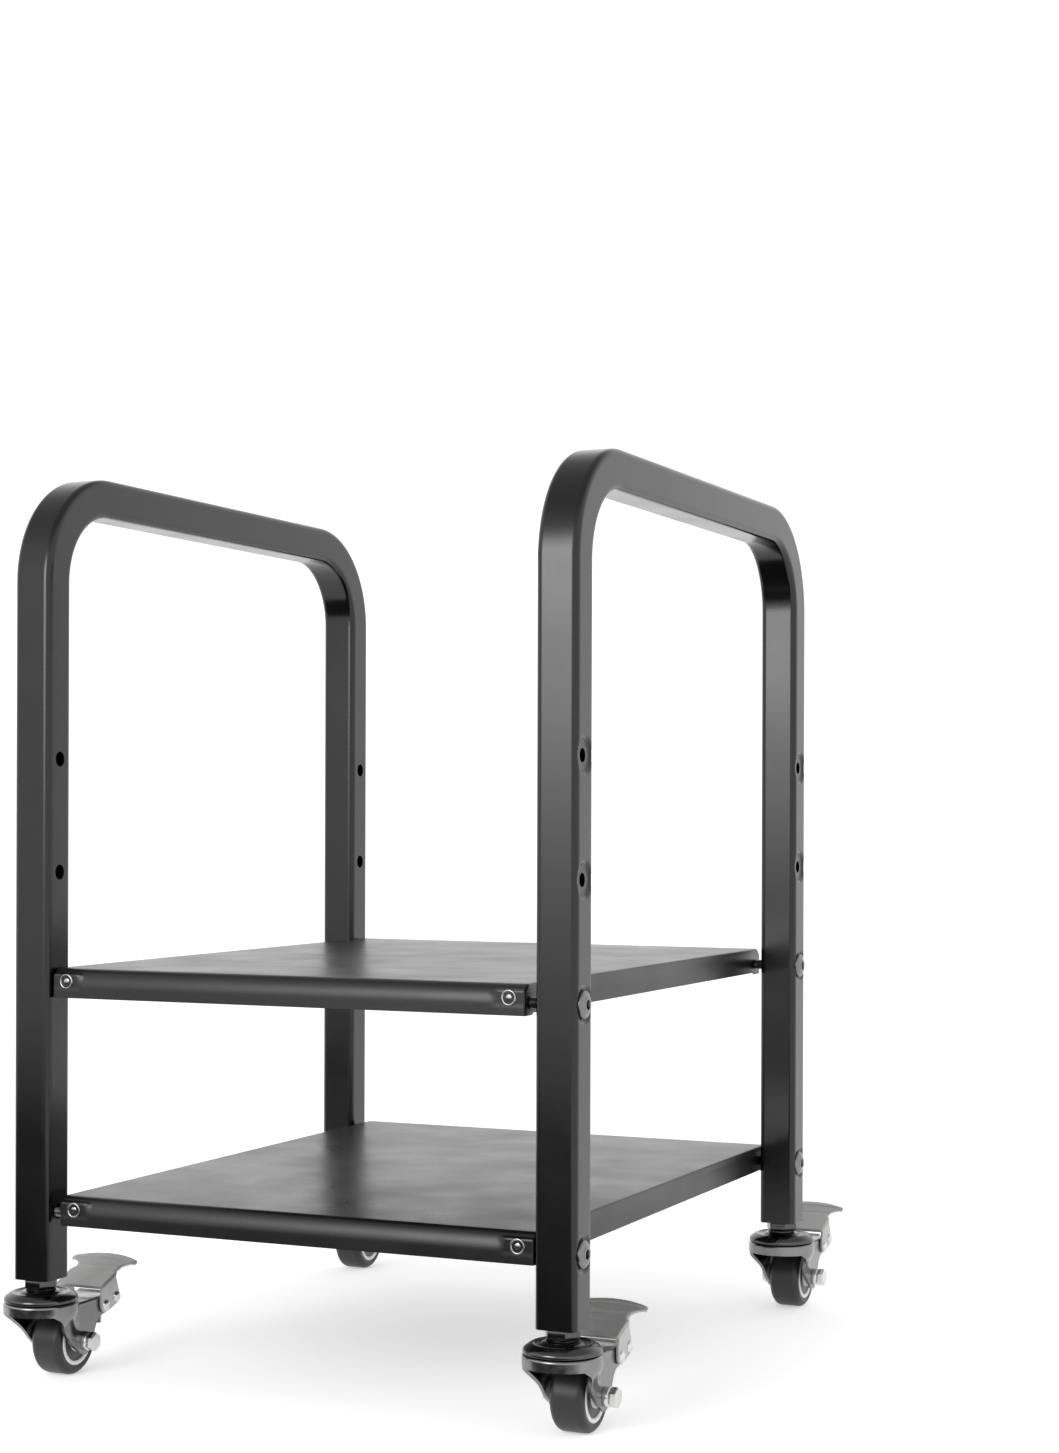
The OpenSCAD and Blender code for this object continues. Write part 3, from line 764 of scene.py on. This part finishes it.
def sheet_part(name, mesh, thickness, soft_edge):
    """The mesh as pressed sheet: thickened inwards, with its cut edges softened."""
    piece = add_object(name, mesh)
    wall = piece.modifiers.new("wall", "SOLIDIFY")
    wall.thickness = thickness * MM
    wall.offset = -1
    soft = piece.modifiers.new("soft", "BEVEL")
    soft.width = soft_edge * MM
    soft.segments = 2
    soft.limit_method = "ANGLE"
    soft.angle_limit = math.radians(50)
    baked = bpy.data.meshes.new_from_object(
        piece.evaluated_get(bpy.context.evaluated_depsgraph_get()))
    bpy.data.objects.remove(piece)
    return baked


def fork_cheeks():
    """The formed skirt and cheeks, from the front of the pan round to the back."""
    pan_r = 19.9
    stations = []
    for turn in spans((0.0, 45.0, 9), (45.0, 90.0, 9)):
        angle = math.radians(turn)
        stations.append((pan_r * math.sin(angle), -pan_r * math.cos(angle)))
    for y in spans((1.5, 14.0, 8), (14.0, 28.0, 12), (28.0, 43.0, 12)):
        stations.append((max(CHEEK_X, math.sqrt(max(0, pan_r ** 2 - y * y))), y))
    levels = spans((0.0, 1.0, 14))
    meshes = []
    for side in (-1, 1):
        builder = bmesh.new()
        rows = []
        for x_top, y in stations:
            low = cheek_low(y)
            top = 41.2 if y < 13.9 else 38.2
            row = []
            if y >= 13.9:
                for turn in range(0, 90, 18):
                    a = math.radians(turn)
                    row.append((CHEEK_X - 1.8 + 1.8 * math.sin(a), 38.2 + 1.8 * math.cos(a)))
            else:
                row += [(x_top, top)] * 5
            for level in levels:
                z = top + (low - top) * level
                draw = smooth_step(38.6 - z, 0.4, 15.0)
                x = x_top + (min(x_top, CHEEK_X) - x_top) * draw
                row.append((x, z))
            rows.append([builder.verts.new((side * x * MM, y * MM, z * MM)) for x, z in row])
        for first, second in zip(rows, rows[1:]):
            for k in range(len(first) - 1):
                builder.faces.new((first[k], first[k + 1], second[k + 1], second[k]))
        bmesh.ops.remove_doubles(builder, verts=builder.verts, dist=1e-6)
        bmesh.ops.recalc_face_normals(builder, faces=builder.faces)
        outward = sum(f.normal.x * side * f.calc_area() for f in builder.faces)
        if outward < 0:
            bmesh.ops.reverse_faces(builder, faces=builder.faces)
        mesh = to_mesh(builder, "cheek")
        meshes.append(mesh)
    return sheet_part("cheeks", join("cheeks", *meshes), FORK_T, 0.35)


crown = prism("crown", [(-12.2, 13), (12.2, 13), (12.2, 43), (-12.2, 43)], 38.2, 40.0, 0.3)
fork = join("fork", pan, fork_cheeks(), crown)
# The fork's black nickel is painted paler than the cap's, as painted light on its cheeks
on_each_leg("pressed_fork", fork, "swivel_{leg}", fork_nickel_painted_light, "fork", 40)


def ball_tree():
    """Geometry nodes for a ring of balls: a circle's points, a sphere on each."""
    tree = bpy.data.node_groups.new("ball_ring", "GeometryNodeTree")
    face = tree.interface
    for label, kind, value in (("Count", "NodeSocketInt", 16),
                               ("Ring radius", "NodeSocketFloat", 0.0146),
                               ("Ball radius", "NodeSocketFloat", 0.0016)):
        face.new_socket(label, in_out="INPUT", socket_type=kind).default_value = value
    face.new_socket("Finish", in_out="INPUT", socket_type="NodeSocketMaterial")
    face.new_socket("Geometry", in_out="OUTPUT", socket_type="NodeSocketGeometry")
    given = add(tree, "NodeGroupInput")
    circle = add(tree, "GeometryNodeMeshCircle", [(given.outputs["Count"], "Vertices"),
                                                  (given.outputs["Ring radius"], "Radius")])
    ball = add(tree, "GeometryNodeMeshIcoSphere", [(given.outputs["Ball radius"], "Radius")])
    ball.inputs["Subdivisions"].default_value = 3
    placed = add(tree, "GeometryNodeInstanceOnPoints", [(circle.outputs[0], "Points"),
                                                        (ball.outputs[0], "Instance")])
    real = add(tree, "GeometryNodeRealizeInstances", [(placed.outputs[0], "Geometry")])
    done = add(tree, "GeometryNodeSetMaterial", [(real.outputs[0], "Geometry"),
                                                 (given.outputs["Finish"], "Material")])
    add(tree, "NodeGroupOutput", [(done.outputs[0], "Geometry")])
    return tree


ring_piece = add_object("balls", bpy.data.meshes.new("balls"))
run_nodes(ring_piece, ball_tree(), {"Count": 16, "Ring radius": 14.6 * MM,
                                    "Ball radius": 1.6 * MM, "Finish": bright_zinc})
settle(ring_piece, bright_zinc, 60)
ball_mesh = ring_piece.data.copy()
bpy.data.objects.remove(ring_piece)
ball_mesh.transform(Matrix.Translation((0, 0, 43.6 * MM)))
on_each_leg("race_balls", ball_mesh, "swivel_{leg}", bright_zinc,
            "bearing_balls", 60)

# ----------------------------------------------------------------------- casters: wheels
# A white nylon core with a grey dust cover turns on a steel sleeve, and carries a dark
# grey moulded rubber tread. The axle is an M6 bolt with a flange nut.

TURN_TO_X = Matrix.Translation((0, AXLE_Y * MM, AXLE_Z * MM)) @ Matrix.Rotation(
    math.radians(90), 4, "Y")


def moulded(name, colour, roughness, grain, speckle=0.06):
    """Moulded polymer: an even colour that varies a little, with a fine skin texture."""
    material = bpy.data.materials.new(name)
    tree = new_tree(material)
    place = add(tree, "ShaderNodeTexCoord").outputs["Object"]
    skin_noise = add(tree, "ShaderNodeTexNoise", [(place, "Vector")], Scale=1800.0, Detail=3.0)
    patches = add(tree, "ShaderNodeTexNoise", [(place, "Vector")], Scale=160.0, Detail=4.0)
    bump = add(tree, "ShaderNodeBump", [(skin_noise.outputs[0], "Height")], Strength=grain,
               Distance=0.0001)
    tint = add(tree, "ShaderNodeMix", [(patches.outputs[0], 0)], data_type="RGBA")
    base = to_linear(colour)
    tint.inputs["A"].default_value = tuple(v * (1 - speckle) for v in base[:3]) + (1,)
    tint.inputs["B"].default_value = tuple(min(1, v * (1 + speckle)) for v in base[:3]) + (1,)
    skin = add(tree, "ShaderNodeBsdfPrincipled",
               [(tint.outputs["Result"], "Base Color"), (bump.outputs[0], "Normal")])
    skin.inputs["Roughness"].default_value = roughness
    add(tree, "ShaderNodeOutputMaterial", [(skin.outputs[0], "Surface")])
    return material


# White nylon of the wheel's core, and the rubber moulded onto it
nylon = moulded("white_nylon", "#d9d9d8", 0.38, 0.2)
rubber = moulded("grey_tread_rubber", "#1c1c1d", 0.42, 0.4, 0.12)
tread_line = soft_profile([(13.4, -8.6), (16.0, -9.25), (18.5, -6.9), (18.5, 6.9),
                           (16.0, 9.25), (13.4, 8.6)], 2.2, 8)
tread = lathe("tread", tread_line + [(13.4, 8.6), (13.4, -8.6)], 128)
tread.transform(TURN_TO_X)
on_each_leg("rubber_tread", tread, "wheel_{leg}", rubber, "tyre", 50)

core_line = soft_profile([(4.06, -11.5), (6.0, -11.5), (6.2, -7.0), (7.4, -6.6), (10.8, -7.4),
                          (11.3, -9.0), (13.4, -9.0), (13.4, 9.0), (11.3, 9.0),
                          (10.8, 7.4), (7.4, 6.6), (6.2, 7.0), (6.0, 11.5), (4.06, 11.5)],
                         0.5, 3)
core = lathe("core", core_line, 96)
core.transform(TURN_TO_X)
on_each_leg("nylon_core", core, "wheel_{leg}", nylon, "wheel_hub", 40)

# Dark grey nylon of the dust covers
dark_nylon = moulded("dark_grey_nylon", "#3a3a3b", 0.35, 0.2)
for side, word in ((-1, "left"), (1, "right")):
    cover = lathe("cover", [(r, side * x) for r, x in soft_profile(
        [(4.1, 7.0), (4.1, 9.4), (5.6, 9.5), (6.2, 8.3), (10.0, 8.0), (11.1, 8.5),
         (11.1, 7.0)], 0.5, 3)], 64)
    cover.transform(TURN_TO_X)
    on_each_leg(f"dust_cover_{word}", cover, "wheel_{leg}", dark_nylon, "", 40)

nut_line = soft_profile([(3.05, 13.8), (5.0, 13.8), (5.0, 16.6), (4.2, 17.0), (3.05, 17.0)],
                        0.35, 3)
flange = lathe("nut_flange", nut_line, 48)
hex_nut = prism("hex_nut", hexagon(8.8), 16.9, 20.9, 0.6, 3)
axle_nut = join("axle_nut", flange, hex_nut)
axle_nut.transform(TURN_TO_X)
on_each_leg("flange_nut", axle_nut, "swivel_{leg}", bright_zinc, "axle_nut")
bolt_head = prism("axle_head", hexagon(10), -17.8, -13.85, 0.6, 3)
axle_shaft = lathe("axle_shaft", [(0, -13.9), (3.0, -13.8), (3.0, 20.2), (2.6, 20.9),
                                  (0, 20.95)], 32, closed=False)
axle = join("axle", bolt_head, axle_shaft)
axle.transform(TURN_TO_X)
on_each_leg("axle_screw", axle, "swivel_{leg}", bright_zinc, "axle_bolt")
for leg in LEGS:
    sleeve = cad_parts[f"axle_sleeve_{leg}"]
    sleeve.data.materials.clear()
    sleeve.data.materials.append(bright_zinc)

# ------------------------------------------------------------------------ casters: brakes
# A stamped pedal with a fishtail end is riveted across the fork. Stepping on it turns it
# about the lower rivet, and the spring steel shoe on its second rivet grips the tread.

PEDAL_T, PEDAL_TILT = 1.5, math.radians(22)
PEDAL_ROOT = (35.0, 43.6)
PEDAL_OUT = 15.6
# Gunmetal plate of the pedal and shoe: satin, and less mirror-like than bare metal
gunmetal = plated_steel("gunmetal_plate", "#b6b6b5", 0.44, 0.5, 0.03)
gunmetal.node_tree.nodes["Principled BSDF"].inputs["Metallic"].default_value = 0.5


def deck_half_width(v):
    """Half the deck's width at a distance v from its root."""
    stops = [(0.0, 15.55), (14.5, 15.55), (18.5, 13.4), (21.0, 13.9), (27.2, 20.6),
             (28.2, 20.95), (33.0, 20.95)]
    for (v0, w0), (v1, w1) in zip(stops, stops[1:]):
        if v <= v1:
            return w0 + (w1 - w0) * smooth_step(v, v0, v1)
    return stops[-1][1]


def pedal_deck():
    """Deck with its sides rolled down, a raised lip near the end, and a convex end."""
    builder = bmesh.new()
    end_r, length = 46.0, 33.0
    shares = spans((-1, -0.8, 6), (-0.8, 0.8, 16), (0.8, 1, 6))
    rows = []
    for v in spans((0, 14.5, 8), (14.5, 21, 10), (21, 28, 12), (28, 33, 10)):
        half = deck_half_width(v)
        row = []
        for share in shares:
            x = half * share
            reach = length - end_r + math.sqrt(end_r ** 2 - x * x)
            lift = 0.5 * math.exp(-((v - 29.6) / 0.7) ** 2) * smooth_step(half - abs(x), 1, 4)
            lift -= 0.35 * math.exp(-((v - 20.5) / 1.2) ** 2)
            edge = smooth_step(abs(x), half - 1.7, half)
            rolled = 1 - smooth_step(v, 11.5, 17.5)
            drop = 1.6 * rolled * (1 - math.sqrt(1 - edge ** 2 * 0.98))
            drop += 0.5 * (1 - rolled) * edge ** 2
            y = v if v < 24 else 24 + (v - 24) * (reach - 24) / (length - 24)
            row.append((x, y, PEDAL_T + lift - drop))
        rows.append([builder.verts.new((x * MM, y * MM, z * MM)) for x, y, z in row])
    for first, second in zip(rows, rows[1:]):
        for k in range(len(first) - 1):
            quad = (first[k], first[k + 1], second[k + 1], second[k])
            builder.faces.new(quad)
    bmesh.ops.remove_doubles(builder, verts=builder.verts, dist=1e-6)
    bmesh.ops.dissolve_degenerate(builder, edges=builder.edges, dist=1e-7)
    bmesh.ops.recalc_face_normals(builder, faces=builder.faces)
    if sum(f.normal.z for f in builder.faces) < 0:
        bmesh.ops.reverse_faces(builder, faces=builder.faces)
    mesh = to_mesh(builder, "deck")
    baked = sheet_part("deck", mesh, PEDAL_T, 0.3)
    baked.transform(Matrix.Translation((0, PEDAL_ROOT[0] * MM, PEDAL_ROOT[1] * MM))
                    @ Matrix.Rotation(PEDAL_TILT, 4, "X"))
    return baked


TO_SIDE = Matrix(((0, 0, 1, 0), (1, 0, 0, 0), (0, 1, 0, 0), (0, 0, 0, 1)))
ear_line = [(35.3, 44.4), (34.1, 40.0), (33.8, 37.0), (34.0, 34.2), (35.0, 32.2),
            (36.4, 31.1), (38.0, 30.8), (42.0, 31.6), (49.5, 33.9), (51.3, 35.0),
            (52.3, 36.6), (52.2, 38.4), (50.8, 41.0), (47.7, 49.3)]
ears = []
for side in (-1, 1):
    low = 14.1 if side > 0 else -PEDAL_OUT
    ear = prism("ear", ear_line, low, low + PEDAL_T, 0.3)
    ear.transform(TO_SIDE)
    ears.append(ear)
pedal = join("pedal", pedal_deck(), *ears)
on_each_leg("brake_lever", pedal, "pedal_{leg}", gunmetal, "brake_pedal", 40)


def cross_rivet(y, z):
    """Rivet across the fork with a domed head at each end."""
    reach = PEDAL_OUT + 0.06
    line = [(0, reach + 1.5), (1.2, reach + 1.4), (2.2, reach + 1.0), (2.85, reach + 0.45),
            (3.0, reach), (1.5, reach)]
    line = line + [(r, -h) for r, h in reversed(line)]
    mesh = lathe("cross_rivet", line, 32, closed=False)
    mesh.transform(Matrix.Translation((0, y * MM, z * MM)) @ Matrix.Rotation(
        math.radians(90), 4, "Y"))
    return mesh


on_each_leg("pivot_rivet", cross_rivet(*PIVOT_PIN), "swivel_{leg}", bright_zinc,
            "pivot_pin", 50)
on_each_leg("shoe_rivet", cross_rivet(*SHOE_PIN), "pedal_{leg}", bright_zinc,
            "brake_pin", 50)
shoe_line = [(42.1, 23.6), (43.4, 23.6), (43.7, 27.0), (44.6, 29.8), (48.4, 34.9),
             (50.4, 35.7), (51.2, 37.5), (50.4, 39.4), (48.5, 40.2), (46.6, 39.4),
             (45.9, 37.5), (46.4, 35.6), (42.9, 30.0)]
shoe = prism("shoe", shoe_line, -9, 9, 0.3)
shoe.transform(TO_SIDE)
on_each_leg("spring_shoe", shoe, "pedal_{leg}", gunmetal, "brake_shoe", 40)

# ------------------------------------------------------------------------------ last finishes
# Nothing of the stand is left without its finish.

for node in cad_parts.values():
    if not node.hide_render and not node.data.materials:
        node.data.materials.append(gloss_black)
